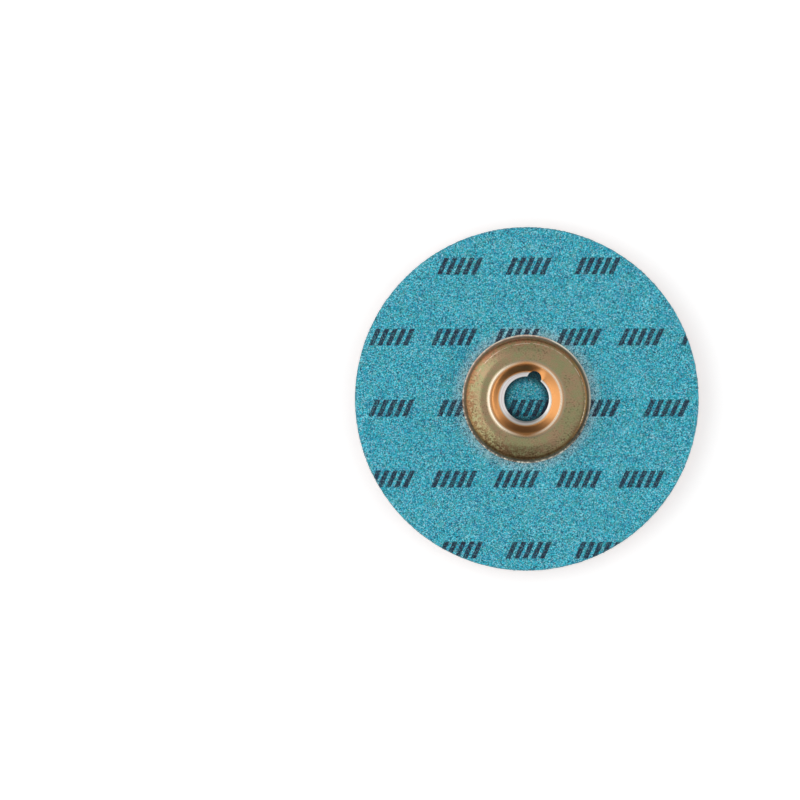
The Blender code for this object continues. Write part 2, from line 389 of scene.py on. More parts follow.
def zinc_film(look, place, from_edge, film):
    """The zinc's colours from funnel to foot, with green and rosy tints on the dome, bare steel
    on the foot's cut edge and a near-white painted highlight along the foot's edge."""
    z = split(place)[2]
    stain = grain(place, 4.2 * MM, 3.0, 0.6)
    share = (HUB_RADIUS - from_edge + (stain - 0.5) * 0.3 * MM) / HUB_RADIUS
    # The last stop, near-white along the foot's edge, is a painted highlight.
    colour = ramp(share, [
        (0.555, look.funnel_colour), (0.60, look.zinc_colour), (0.87, look.zinc_colour),
        (0.93, look.rim_colour), (0.974, look.rim_colour), (0.983, look.edge_highlight_colour)])
    foot_top = HUB_SEAT + look.sheet_thickness
    cut = rise(from_edge, 0.15 * MM, 0.05 * MM)
    cut = cut * rise(z, foot_top - 0.02 * MM, foot_top - 0.2 * MM)
    colour = mix(cut * 0.85, colour, look.steel_colour)
    tint = mix(
        rise(film * 0.5 + stain * 0.5, 0.38, 0.62), linear(214, 228, 182), linear(252, 214, 190))
    return mix(on_dome(from_edge) * 0.75, colour, tint, "MULTIPLY")


def zinc_stains_and_shade(colour, place, from_edge, film, pits):
    """The colour with a rosy upper left rim, a brown film on the lower left and dark spots, then
    dark brown: soil with painted shade on the low side, and painted shade on the right rim and
    low in the funnel."""
    x, y = split(place)[:2]
    rosy = rise(from_edge, 3.0 * MM, 1.6 * MM) * rise(y - x, 3.0 * MM, 11.0 * MM)
    colour = mix(rosy * rise(film, 0.35, 0.6) * 0.6, colour, linear(186, 122, 92))
    brown = rise(x + y, -2.0 * MM, -15.0 * MM) * rise(from_edge, 5.2 * MM, 1.8 * MM)
    brown = brown * rise(film * 0.6 + pits * 0.4, 0.42, 0.54)
    colour = mix(brown * 0.7, colour, linear(118, 90, 56))
    spots = rise(pits, 0.54, 0.66) * rise(grain(place, 5.0 * MM), 0.35, 0.6)
    colour = mix(spots * on_dome(from_edge) * 0.6, colour, linear(70, 58, 38))
    # Soil patches on the low side near the rim, with painted shade there too.
    low_side = rise(y, 4.0 * MM, -10.0 * MM) * rise(from_edge, 3.4 * MM, 0.8 * MM)
    soil_and_shade = low_side * rise(film * 0.5 + pits * 0.5, 0.46, 0.54) * 0.65
    soil_and_shade = soil_and_shade * (1.0 - band(from_edge, 0.9 * MM, 1.7 * MM, 0.2 * MM) * 0.5)
    # Painted shade on the right rim.
    soil_and_shade = soil_and_shade + rise(x, 7.0 * MM, 12.0 * MM) * rise(from_edge, 2.0 * MM, 1.1 * MM) * 0.4
    # Painted shade in the funnel on its low side.
    funnel = band(from_edge, 6.0 * MM, 8.3 * MM, 0.3 * MM) * rise(y, -3.0 * MM, -7.0 * MM)
    return mix(soil_and_shade + funnel * 0.6, colour, linear(62, 44, 26))


def crest_highlight(look, x, y):
    """1 on the left and the right of the rolled crest, a little off the hub's axis: the mask of
    a painted highlight where the side boxes glint.
    """
    from_crest = radius_of(x + 0.3 * MM, y) - look.crest_diameter / 2
    sideways = rise(x.to("ABSOLUTE"), 0.0, 6.0 * MM)
    return band(from_crest, -0.15 * MM, 0.25 * MM, 0.25 * MM) * sideways


# A thin pale line on the fold, in the crest highlight's colour.
def pale_fold_line(x, y, film):
    """1 on a thin line along the upper side of the fold between dome and skirt."""
    from_edge = HUB_RADIUS - radius_of(x - 0.33 * MM, y + 0.33 * MM)
    upper = rise(y + x * 0.5, -2.0 * MM, 3.0 * MM)
    return band(from_edge, 1.57 * MM, 1.67 * MM, 0.06 * MM) * upper * rise(film, 0.4, 0.55)


def bare_lip(look, x, y, from_bore):
    """Where the lip is rubbed down to bare metal, over a wider band the deeper it has wound, and
    the metal's colour, which is dull at the band's border and darker on its low side as painted
    shade."""
    turned = (look.notch_angle - y.to("ARCTAN2", x)).to("WRAP", 2 * math.pi, 0.0)
    worn_to = (turned / (2 * math.pi) * 1.25 * MM + 0.35 * MM).to("MINIMUM", LIP_WIDTH)
    worn_to = worn_to - rise(turned, 4.9, 5.6) * 0.25 * MM
    bare = rise(from_bore, worn_to + 0.16 * MM, worn_to - 0.1 * MM)
    # Painted shade: the lip darkens on its low side, and more at the bore's edge there.
    low_side = rise(y, -2.0 * MM, -5.5 * MM)
    colour = mix(low_side * 0.5, look.lip_colour, linear(120, 116, 106))
    inner = rise(from_bore, 0.65 * MM, 0.25 * MM)
    colour = mix(low_side * inner * 0.7, colour, linear(62, 68, 66))
    border = rise(from_bore, worn_to - 0.34 * MM, worn_to)
    colour = mix(border * 0.6, colour, linear(160, 154, 126))
    line = band(from_bore, 0.53 * MM, 0.61 * MM, 0.05 * MM) * rise(x, 3.0 * MM, -3.0 * MM)
    colour = mix(line * 0.6, colour, linear(196, 140, 160))
    return bare, colour


def zinc_material(look):
    """Yellow zinc on stamped steel: olive on the dome and orange in the funnel, with stains,
    soil and painted shade on the low side, painted shade on the right rim and in the funnel,
    painted highlights on the crest and along the foot's edge, a pale line on the fold and a bare
    lip."""
    material, tree, shader, place = new_material("yellow_zinc")
    x, y = split(place)[:2]
    radius = radius_of(x, y)
    from_edge = HUB_RADIUS - radius
    from_bore = radius - look.bore_diameter / 2
    film = grain(place, 0.9 * MM, 3.0, 0.7)
    pits = grain(place, 0.35 * MM, 3.0, 0.65)
    crest = crest_highlight(look, x, y)
    bare, lip = bare_lip(look, x, y, from_bore)
    colour = zinc_film(look, place, from_edge, film)
    colour = zinc_stains_and_shade(colour, place, from_edge, film, pits)
    # Painted highlight on the crest, with the pale line on the fold, both in the crest
    # highlight's colour.
    wear_and_highlight = crest.to("MAXIMUM", pale_fold_line(x, y, film) * 0.7)
    colour = mix(wear_and_highlight, colour, look.crest_highlight_colour)
    put(tree, shader.inputs["Base Color"], mix(bare, colour, lip))

    skirt = rise(from_edge, 1.1 * MM, 0.6 * MM)
    foot = rise(from_edge, 0.4 * MM, 0.25 * MM)
    metal = 1.0 - bare * 0.45 - skirt * 0.5 - crest * 0.5 - foot * 0.35
    put(tree, shader.inputs["Metallic"], metal)
    stretched = make(tree, "ShaderNodeCombineXYZ", {0: radius * 9.0})
    rings = grain(stretched, 1.6 * MM, 3.0, 0.6)
    rough = look.zinc_roughness + (rings - 0.5) * 0.1 + (pits - 0.5) * 0.25
    rough = rough + bare * 0.15 + skirt * 0.2 - crest * 0.1
    rough = rough + band(from_bore, 1.15 * MM, 2.75 * MM, 0.3 * MM) * 0.09
    put(tree, shader.inputs["Roughness"], rough)
    bump(tree, shader, rings * 0.4 + pits * 0.6, 0.03 * MM, 0.7)
    return material


def adhesive_material(look):
    material, tree, shader, place = new_material("amber_adhesive")
    cloudy = grain(place, 1.5 * MM, 3.0)
    colour = mix(cloudy, look.adhesive_dark, look.adhesive_light)
    put(tree, shader.inputs["Base Color"], colour)
    put(tree, shader.inputs["Roughness"], cloudy * 0.25 + 0.3)
    bump(tree, shader, cloudy, 0.1 * MM, 0.5)
    return material


# Pieces

def new_object(name, mesh):
    item = bpy.data.objects.new(name, mesh)
    bpy.context.scene.collection.objects.link(item)
    return item


def mesh_of(name, points, faces=(), edges=()):
    mesh = bpy.data.meshes.new(name)
    mesh.from_pydata(points, edges, faces)
    mesh.validate()
    return mesh


def add_tree(item, tree, values):
    """Adds the tree as a modifier, with its inputs set by their names."""
    modifier = item.modifiers.new(tree.name, "NODES")
    modifier.node_group = tree
    for socket in tree.interface.items_tree:
        if socket.item_type == "SOCKET" and socket.in_out == "INPUT":
            if socket.name in values:
                modifier[socket.identifier] = values[socket.name]


def finished(item, slot, *nodes):
    """The item with its modifiers taken into a plain mesh, riding on the disc."""
    graph = bpy.context.evaluated_depsgraph_get()
    mesh = bpy.data.meshes.new_from_object(item.evaluated_get(graph))
    item.modifiers.clear()
    item.data = mesh
    mesh.name = item.name
    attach(item, "root")
    if nodes:
        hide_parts(*nodes)
    return item


def new_tree(name, sockets):
    """A geometry tree with a geometry input, the named inputs, and its input node."""
    tree = bpy.data.node_groups.new(name, "GeometryNodeTree")
    face = tree.interface
    face.new_socket("Geometry", in_out="INPUT", socket_type="NodeSocketGeometry")
    for label, kind, value in sockets:
        socket = face.new_socket(label, in_out="INPUT", socket_type="NodeSocket" + kind)
        if value is not None:
            socket.default_value = value
    face.new_socket("Geometry", in_out="OUTPUT", socket_type="NodeSocketGeometry")
    return tree, make(tree, "NodeGroupInput")


def end_tree(tree, geometry, material):
    real = make(tree, "GeometryNodeRealizeInstances", {0: geometry})
    dressed = make(
        tree, "GeometryNodeSetMaterial", {"Geometry": real, "Material": material})
    put(tree, tree.nodes.new("NodeGroupOutput").inputs[0], dressed)


def chance(tree, low, high, seed):
    """A random number for each element."""
    return make(
        tree, "FunctionNodeRandomValue", {2: low, 3: high, "Seed": seed}, output=1,
        data_type="FLOAT")


def attribute_value(tree, name):
    return make(
        tree, "GeometryNodeInputNamedAttribute", {"Name": name}, data_type="FLOAT")


def moved(geometry, how, value):
    """The geometry with its points moved by an Offset or to a Position."""
    return make(
        geometry.tree, "GeometryNodeSetPosition", {"Geometry": geometry, how: value})


def bent(strands, given, strand):
    """Moves the strands off their line by noise that runs along each of them."""
    tree = strands.tree
    travelled = make(tree, "GeometryNodeSplineParameter") * given.other("Length")
    track = make(
        tree, "ShaderNodeCombineXYZ", {0: travelled / given.other("Bend Spacing")})
    bends = make(
        tree, "ShaderNodeTexNoise",
        {"Vector": track, "W": strand, "Scale": 1.0, "Detail": 1.0, "Roughness": 0.4},
        output="Color", noise_dimensions="4D")
    bends = make(
        tree, "ShaderNodeVectorMath", {0: bends, 1: (0.5, 0.5, 0.5)}, operation="SUBTRACT")
    return moved(strands, "Offset", scaled(bends, given.other("Wander") * 2.0))


def trimmed(strands, given, strand):
    """Holds the strands inside the disc, each up to Trim Depth short of its edge and its
    underside, by two fractions of the strand's number."""
    tree = strands.tree
    x, y, z = split(make(tree, "GeometryNodeInputPosition"))
    cut = given.other("Trim Depth")
    edge = given.other("Trim Radius") - (strand / 97.0).to("FRACT") * cut
    low = given.other("Low") + (strand / 89.0).to("FRACT") * cut
    share = (edge / radius_of(x, y)).to("MINIMUM", 1.0)
    height = z.to("MAXIMUM", low).to("MINIMUM", given.other("High"))
    inside = make(tree, "ShaderNodeCombineXYZ", {0: x * share, 1: y * share, 2: height})
    return moved(strands, "Position", inside)


def fibre_tree():
    """Bent fibres scattered over the input surface and trimmed to the disc. Each carries a
    shade for its colour and a number for its bends and trims."""
    tree, given = new_tree("scattered_fibres", [
        ("Density", "Float", 300000.0), ("Length", "Float", 10 * MM),
        ("Thickness", "Float", 0.2 * MM), ("Points", "Int", 24),
        ("Wander", "Float", 1.0 * MM), ("Bend Spacing", "Float", 1.4 * MM),
        ("Layer Depth", "Float", 0.4 * MM), ("Trim Radius", "Float", DISC_RADIUS),
        ("Trim Depth", "Float", 0.5 * MM), ("Low", "Float", 0.1 * MM),
        ("High", "Float", WEB_TOP), ("Seed", "Int", 1), ("Material", "Material", None)])
    seed = given.other("Seed")
    spread = make(tree, "GeometryNodeDistributePointsOnFaces", {
        "Mesh": given, "Density": given.other("Density"), "Seed": seed})
    sunk = chance(tree, 0.0, 1.0, seed + 1) * given.other("Layer Depth") * -1.0
    layered = moved(spread, "Offset", scaled(spread.other("Normal"), sunk))
    half, back = (
        make(tree, "ShaderNodeCombineXYZ", {0: given.other("Length") * share})
        for share in (0.5, -0.5))
    line = make(tree, "GeometryNodeCurvePrimitiveLine", {"Start": back, "End": half})
    line = make(
        tree, "GeometryNodeResampleCurve", {"Curve": line, "Count": given.other("Points")})
    turn = make(tree, "FunctionNodeAxisAngleToRotation", {
        "Axis": (0.0, 0.0, 1.0), "Angle": chance(tree, 0.0, 2 * math.pi, seed + 2)})
    facing = make(
        tree, "FunctionNodeRotateRotation",
        {"Rotation": spread.other("Rotation"), "Rotate By": turn}, rotation_space="LOCAL")
    strands = make(tree, "GeometryNodeInstanceOnPoints", {
        "Points": layered, "Instance": line, "Rotation": facing})
    for label, shift, high in (("shade", 3, 1.0), ("strand", 4, 900.0)):
        strands = make(
            tree, "GeometryNodeStoreNamedAttribute",
            {"Geometry": strands, "Name": label, "Value": chance(tree, 0.0, high, seed + shift)},
            data_type="FLOAT", domain="INSTANCE")
    strands = make(tree, "GeometryNodeRealizeInstances", {0: strands})
    strand = attribute_value(tree, "strand")
    strands = trimmed(bent(strands, given, strand), given, strand)
    ring = make(tree, "GeometryNodeCurvePrimitiveCircle", {
        "Resolution": 3, "Radius": given.other("Thickness") * 0.5})
    tubes = make(tree, "GeometryNodeCurveToMesh", {
        "Curve": strands, "Profile Curve": ring, "Fill Caps": True})
    end_tree(tree, tubes, given.other("Material"))
    return tree


def ring_points(radius, height, count):
    return [
        (math.cos(2 * math.pi * step / count) * radius,
         math.sin(2 * math.pi * step / count) * radius, height)
        for step in range(count)]


def wall_guide(name, radius, low, high):
    """A plain cylinder wall that faces outwards, to scatter on."""
    count = GUIDE_STEPS
    points = ring_points(radius, low, count) + ring_points(radius, high, count)
    faces = [
        (step, (step + 1) % count, count + (step + 1) % count, count + step)
        for step in range(count)]
    return mesh_of(name, points, faces)


def face_guide(name, radius, height):
    """A flat disc that faces down, to scatter on."""
    points = ring_points(radius, height, GUIDE_STEPS)
    return mesh_of(name, points, [tuple(reversed(range(GUIDE_STEPS)))])


def shell_mesh(name, rings, count):
    """A closed solid of (radius, height) rings, from the middle of its underside to the
    middle of its upper side."""
    points = [(0.0, 0.0, rings[0][1])]
    for radius, height in rings:
        points += ring_points(radius, height, count)
    points.append((0.0, 0.0, rings[-1][1]))
    last = len(points) - 1
    faces = []
    for step in range(count):
        following = (step + 1) % count
        faces.append((0, 1 + following, 1 + step))
        for row in range(len(rings) - 1):
            low, high = 1 + row * count, 1 + (row + 1) * count
            faces.append((low + step, low + following, high + following, high + step))
        top = 1 + (len(rings) - 1) * count
        faces.append((last, top + step, top + following))
    return mesh_of(name, points, faces)


def web_core_mesh(look):
    """The web's matted depth: a closed solid inside the open fibres, lumpy on its face and
    its wall."""
    depth = look.core_depth
    inner = DISC_RADIUS - look.core_inset
    rings = [(inner * share / 40, depth) for share in range(1, 40)]
    rings += [(inner, depth + 0.25 * MM)]
    rings += [(inner, depth + (WEB_TOP - depth) * row / 8) for row in range(1, 9)]
    rings += [(inner * 0.5, WEB_TOP)]
    mesh = shell_mesh("web_core", rings, CORE_STEPS)
    for vert in mesh.vertices:
        place = vert.co / look.lump_size
        level = noise.noise(place) + 0.5 * noise.noise(place * 2.3)
        if vert.co.z < WEB_TOP - MM:
            out = Vector((vert.co.x, vert.co.y, 0.0))
            on_wall = out.length > inner - 0.01 * MM
            direction = -out.normalized() if on_wall else Vector((0.0, 0.0, 1.0))
            vert.co += direction * max(level, -0.6) * look.lump_height
    return mesh


def cloth_mesh():
    """The cloth with eased edges, which are a little ragged from the die."""
    base, top, ease = CLOTH_BASE, CLOTH_TOP, CLOTH_EASE
    rings = [(DISC_RADIUS * 0.6, base), (DISC_RADIUS - ease, base)]
    rings += [(DISC_RADIUS, base + ease), (DISC_RADIUS, (base + top) / 2)]
    rings += [(DISC_RADIUS, top - ease), (DISC_RADIUS - ease * 0.3, top - ease * 0.3)]
    rings += [(DISC_RADIUS - ease, top)]
    rings += [(DISC_RADIUS * share / 24, top) for share in range(23, 0, -1)]
    mesh = shell_mesh("cloth", rings, CLOTH_STEPS)
    for vert in mesh.vertices:
        radius = math.hypot(vert.co.x, vert.co.y)
        if radius > DISC_RADIUS - 0.5 * MM:
            ragged = noise.noise(vert.co / (1.1 * MM)) * 0.06 * MM - 0.03 * MM
            vert.co.x *= 1 + ragged / radius
            vert.co.y *= 1 + ragged / radius
    return mesh


# Hub

def crest_corner(look, radius, land_end, lip_start):
    """The corner that the crest's arc rounds off, where the tangents from the end of
    the land and from the start of the lip meet."""
    centre = Vector((look.crest_diameter / 2, HUB_TOP - HUB_SEAT - radius))
    slopes = []
    for away, side in ((land_end - centre, 1), (lip_start - centre, -1)):
        slopes.append(math.atan2(side * away.x, away.y) - math.acos(radius / away.length))
    lean, half_turn = (slopes[0] - slopes[1]) / 2, sum(slopes) / 2
    return centre + Vector((math.sin(lean), math.cos(lean))) * radius / math.cos(half_turn)


def hub_corners(look):
    """The corners of the hub's upper side from foot to bore, with the lip half way up
    its turn, as (place, fold), where a place is (radius, height)."""
    sheet = look.sheet_thickness
    land = HUB_TOP - HUB_SEAT - BEAD_RISE
    land_end = Vector((look.crest_diameter / 2 + BEAD_REACH, land))
    lip_height = look.lip_clearance + sheet + look.thread_pitch / 2
    lip_start = Vector((look.bore_diameter / 2 + LIP_WIDTH, lip_height + LIP_DROP))
    crest_fold = CREST_FOLD + sheet
    return [
        (Vector((HUB_RADIUS, sheet)), 0.0),
        (Vector((FOOT_END, sheet)), FOOT_FOLD),
        (Vector((FOOT_END - SKIRT_RUN, sheet + SKIRT_RISE)), SKIRT_FOLD + sheet),
        (Vector((land_end.x + LAND_WIDTH, land)), DOME_FOLD + sheet),
        (land_end, BEAD_FOLD),
        (crest_corner(look, crest_fold, land_end, lip_start), crest_fold),
        (lip_start, LIP_FOLD),
        (Vector((look.bore_diameter / 2, lip_height)), 0.0),
    ]


def rounded(corners):
    """Points and upward normals along the section, with an arc at each fold."""
    places = [place for place, fold in corners]
    points, normals = [places[0]], [Vector((0.0, 1.0))]
    for before, (apex, fold), after in zip(places, corners[1:], places[2:]):
        back, ahead = (before - apex).normalized(), (after - apex).normalized()
        half_turn = (math.pi - back.angle(ahead)) / 2
        side = 1 if back.x * ahead.y - back.y * ahead.x < 0 else -1
        centre = apex + (back + ahead).normalized() * fold / math.cos(half_turn)
        start = apex + back * fold * math.tan(half_turn) - centre
        upward = start.normalized() * side
        flat_steps = math.ceil((centre + start - points[-1]).length / (2 * SECTION_STEP))
        flat_from = points[-1]
        for step in range(1, flat_steps):
            points.append(flat_from.lerp(centre + start, step / flat_steps))
            normals.append(upward)
        steps = max(4, math.ceil(2 * half_turn * fold / SECTION_STEP))
        for step in range(steps + 1):
            turned = Matrix.Rotation(side * 2 * half_turn * step / steps, 2)
            points.append(centre + turned @ start)
            normals.append(turned @ upward)
    points.append(places[-1])
    normals.append(normals[-1])
    return points, normals


def blanked_end(end, normal, away, sheet):
    """The sheet's cut end from its upper to its under side, with both corners eased."""
    corners = (
        (end - (away + normal) * SHEET_EASE, normal, away),
        (end - away * SHEET_EASE - normal * (sheet - SHEET_EASE), away, -normal))
    points = []
    for centre, first, second in corners:
        for step in range(5):
            angle = math.pi / 2 * step / 4
            out = first * math.cos(angle) + second * math.sin(angle)
            points.append(centre + out * SHEET_EASE)
    return points


def section_mesh(look):
    """The closed section of the sheet as a loop of edges. Each point carries its lift, the
    share by which it follows the lip's winding."""
    sheet = look.sheet_thickness
    upper, normals = rounded(hub_corners(look))
    along = list(zip(upper, normals))[1:-1]
    bore_end = blanked_end(upper[-1], normals[-1], Vector((-1.0, 0.0)), sheet)
    foot_end = blanked_end(upper[0], normals[0], Vector((1.0, 0.0)), sheet)
    loop = [(point, point.x) for point, normal in along]
    loop += [(point, upper[-1].x) for point in bore_end]
    loop += [(point - normal * sheet, point.x) for point, normal in reversed(along)]
    loop += [(point, upper[0].x) for point in reversed(foot_end)]

    still = look.crest_diameter / 2 - 0.2 * MM
    wound = look.bore_diameter / 2 + LIP_WIDTH
    lifts = []
    for point, radius in loop:
        share = min(max((still - radius) / (still - wound), 0.0), 1.0)
        lifts.append(share * (1 + share * (3 - 2 * share)) / 2)
    points = [(point.x, 0.0, point.y + HUB_SEAT) for point, radius in loop]
    edges = [(index, (index + 1) % len(points)) for index in range(len(points))]
    mesh = mesh_of("hub", points, edges=edges)
    mesh.attributes.new("lift", "FLOAT", "POINT").data.foreach_set("value", lifts)
    return mesh


def winding_tree():
    """Lifts the lip of a turned hub into one turn of thread, and cuts its notch."""
    tree, given = new_tree("wound_lip", [
        ("Pitch", "Float", 1.6 * MM), ("Start", "Float", 0.0), ("Return", "Float", 0.6),
        ("Notch Width", "Float", 3.1 * MM), ("Notch Reach", "Float", 6.35 * MM),
        ("Notch Angle", "Float", 1.2), ("Material", "Material", None)])
    turn = 2 * math.pi
    x, y = split(make(tree, "GeometryNodeInputPosition"))[:2]
    travelled = (given.other("Start") - y.to("ARCTAN2", x)).to("WRAP", turn, 0.0)
    thread = turn - given.other("Return")
    down = 0.5 - travelled / thread
    up = rise(travelled, thread, turn) - 0.5
    on_thread = travelled.to("LESS_THAN", thread)
    height = on_thread * down + (1.0 - on_thread) * up
    lifted = height * attribute_value(tree, "lift") * given.other("Pitch")
    wound = moved(given, "Offset", make(tree, "ShaderNodeCombineXYZ", {2: lifted}))

    half = given.other("Notch Width") * 0.5
    reach = given.other("Notch Reach") - half
    cutter = make(tree, "GeometryNodeMeshCylinder", {
        "Vertices": 72, "Radius": half, "Depth": 20 * MM})
    ahead = x.to("GREATER_THAN", 0.0) * reach
    cutter = moved(cutter, "Offset", make(tree, "ShaderNodeCombineXYZ", {0: ahead}))
    bearing = make(tree, "ShaderNodeCombineXYZ", {2: given.other("Notch Angle")})
    cutter = make(tree, "GeometryNodeTransform", {
        "Geometry": cutter, "Rotation": bearing, "Translation": (0.0, 0.0, HUB_SEAT)})
    notched = make(
        tree, "GeometryNodeMeshBoolean", {"Mesh 1": wound, "Mesh 2": cutter},
        output="Mesh", operation="DIFFERENCE", solver="EXACT")
    end_tree(tree, notched, given.other("Material"))
    return tree


# Settings

def a_size(label, text, value):
    return bpy.props.FloatProperty(
        name=label, description=text, default=value, min=0.0, unit="LENGTH", precision=5)


def a_level(label, text, value):
    return bpy.props.FloatProperty(name=label, description=text, default=value, min=0.0)


def a_share(label, text, value):
    return bpy.props.FloatProperty(
        name=label, description=text, default=value, min=0.0, max=1.0, subtype="FACTOR")


def an_angle(label, text, degrees):
    return bpy.props.FloatProperty(
        name=label, description=text, default=math.radians(degrees), unit="ROTATION")


def a_colour(label, text, *levels):
    return bpy.props.FloatVectorProperty(
        name=label, description=text, default=linear(*levels), size=4, min=0.0, max=1.0,
        subtype="COLOR")


class DiscWebSettings(bpy.types.PropertyGroup):
    """Sizes and colours of the nonwoven web"""

    fibre_thickness: a_size("Fibre thickness", "Width of one coated fibre", 0.2 * MM)
    fibre_length: a_size("Fibre length", "Length of one fibre of the web", 10 * MM)
    wander: a_size("Wander", "How far a fibre bends off its line", 1.0 * MM)
    bend_spacing: a_size("Bend spacing", "Distance between bends along a fibre", 1.4 * MM)
    face_density: a_level("Face fibres", "Fibres in a square metre of each layer", 300000.0)
    edge_density: a_level("Edge fibres", "Fibres in a square metre of the edge", 1200000.0)
    core_inset: a_size("Core inset", "How deep the open fibres of the edge go", 0.9 * MM)
    core_depth: a_size("Core depth", "How deep the open fibres of the face go", 1.5 * MM)
    lump_size: a_size("Lump size", "Distance between the lumps of the core", 2.4 * MM)
    lump_height: a_size("Lump height", "How far the lumps of the core stand up", 0.7 * MM)
    fibre_dark: a_colour("Dark fibre", "Darkest coated fibre", 116, 60, 50)
    fibre_colour: a_colour("Fibre", "Middle tone of the fibres", 222, 160, 145)
    fibre_light: a_colour("Light fibre", "Lightest coated fibre", 246, 220, 208)
    # The web's maroon, darkened as painted shade of the web's depth
    depth_shade_colour: a_colour("Depth", "What shows between the fibres", 50, 20, 14)


class DiscClothSettings(bpy.types.PropertyGroup):
    """Sizes and colours of the backing cloth, its print and its cut threads"""

    cloth_dark: a_colour("Dark grain", "Low spots of the cloth's grain", 0, 68, 92)
    cloth_colour: a_colour("Cloth", "Middle tone of the cloth", 4, 164, 190)
    cloth_light: a_colour("Light grain", "High spots of the cloth's grain", 70, 222, 243)
    fleck_colour: a_colour("Flecks", "Palest specks of the cloth's grain", 196, 240, 246)
    ink_colour: a_colour("Ink", "Printed marks", 20, 17, 48)
    thread_density: a_level("Cut threads", "Threads in a square metre of edge", 9000000.0)
    thread_length: a_size("Thread length", "Length of a cut thread at the edge", 1.1 * MM)
    thread_thickness: a_size("Thread thickness", "Width of a cut thread", 0.07 * MM)
    thread_dark: a_colour("Dark thread", "Darkest cut thread", 84, 122, 128)
    thread_light: a_colour("Light thread", "Lightest cut thread", 150, 190, 194)


class DiscHubSettings(bpy.types.PropertyGroup):
    """Sizes and colours of the stamped hub"""

    sheet_thickness: a_size("Sheet", "Thickness of the stamped sheet", 0.8 * MM)
    crest_diameter: a_size("Crest diameter", "Across the rolled crest", 15.7 * MM)
    bore_diameter: a_size("Bore diameter", "Across the threaded bore", 9.7 * MM)
    lip_clearance: a_size("Lip clearance", "From the seat to the lip's underside", 1.1 * MM)
    thread_pitch: a_size("Thread pitch", "How far the lip winds down in one turn", 1.6 * MM)
    notch_width: a_size("Notch width", "Width of the notch in the lip", 3.1 * MM)
    notch_reach: a_size("Notch reach", "From the axis to the notch's end", 6.35 * MM)
    notch_angle: an_angle("Notch angle", "Where the notch stands round the bore", 69.5)
    zinc_roughness: a_share("Zinc roughness", "How blurred the zinc's reflections are", 0.27)
    zinc_colour: a_colour("Zinc", "Olive zinc of the dome", 176, 166, 142)
    rim_colour: a_colour("Rim", "Zinc at the steep rim", 150, 118, 84)
    # Colour of the painted highlight on the crest
    crest_highlight_colour: a_colour("Crest", "Zinc on the crest", 252, 238, 214)
    # Colour of the painted highlight along the foot's edge
    edge_highlight_colour: a_colour("Cut edge", "Blanked edge of the foot", 252, 248, 232)
    steel_colour: a_colour("Steel", "Bare steel below the foot's edge", 136, 126, 102)
    funnel_colour: a_colour("Funnel", "Orange zinc in the funnel", 216, 152, 94)
    lip_colour: a_colour("Lip", "Bare metal on the lip", 250, 248, 246)


class DiscAdhesiveSettings(bpy.types.PropertyGroup):
    """Colours of the adhesive under the dome"""

    adhesive_dark: a_colour("Dark amber", "Thick spots of the adhesive", 150, 112, 58)
    adhesive_light: a_colour("Light amber", "Thin spots of the adhesive", 202, 168, 106)


class DiscStageSettings(bpy.types.PropertyGroup):
    """Camera, soft boxes and the light around them"""

    lens: a_level("Lens", "Focal length in millimetres", 150.0)
    distance: a_size("Camera height", "From the floor to the camera", 734.0 * MM)
    aim: an_angle("Aim", "How far the camera turns off the disc's axis", 2.173)
    fill_level: a_level("Fill", "Even light from all sides", 0.7)
    end_shade: a_share("End shade", "How much darker the studio's two ends are", 0.67)
    left_level: a_level("Left box", "Brightness of the wide soft box on the left", 0.8)
    right_level: a_level("Right box", "Brightness of the narrow soft box on the right", 1.2)


# Studio

def top_camera(look):
    """A camera straight above the disc, turned a little towards its left."""
    camera = bpy.data.objects.new("camera", bpy.data.cameras.new("camera"))
    camera.data.lens = look.lens
    camera.data.sensor_width = 36.0
    camera.data.clip_start = 0.01
    camera.data.clip_end = 20.0
    camera.location = (0.0, -0.24 * MM, look.distance)
    camera.rotation_euler = (0.0, look.aim, 0.0)
    bpy.context.scene.collection.objects.link(camera)
    return camera


def paper_material():
    """White paper that keeps the disc's soft shadow and still reads as white."""
    material, tree, shader, place = new_material("white_paper")
    shader.inputs["Roughness"].default_value = 0.9
    shader.inputs["Specular IOR Level"].default_value = 0.1
    tooth = grain(place, 0.6 * MM, 3.0)
    paper = mix(tooth, linear(236, 236, 236), linear(244, 244, 244))
    put(tree, shader.inputs["Base Color"], paper)
    rays = make(tree, "ShaderNodeLightPath")
    shown = rays + rays.other("Is Glossy Ray") + rays.other("Is Transmission Ray")
    glow = make(tree, "ShaderNodeEmission", {"Strength": shown.to("MINIMUM", 1.0) * 0.42})
    both = make(tree, "ShaderNodeAddShader", {0: Field(tree, shader.outputs[0]), 1: glow})
    put(tree, tree.nodes["Material Output"].inputs["Surface"], both)
    return material


def soft_box(name, lean, width, level):
    """A lamp that leans this far off the vertical and is aimed at the disc."""
    lamp = bpy.data.lights.new(name, "AREA")
    lamp.shape = "RECTANGLE"
    lamp.size, lamp.size_y = width, BOX_LENGTH
    lamp.energy = level * math.pi * lamp.size * lamp.size_y
    box = bpy.data.objects.new(name, lamp)
    box.location = (math.sin(lean) * BOX_DISTANCE, 0.0, math.cos(lean) * BOX_DISTANCE)
    box.rotation_euler = (0.0, lean, 0.0)
    box.visible_camera = False
    bpy.context.scene.collection.objects.link(box)


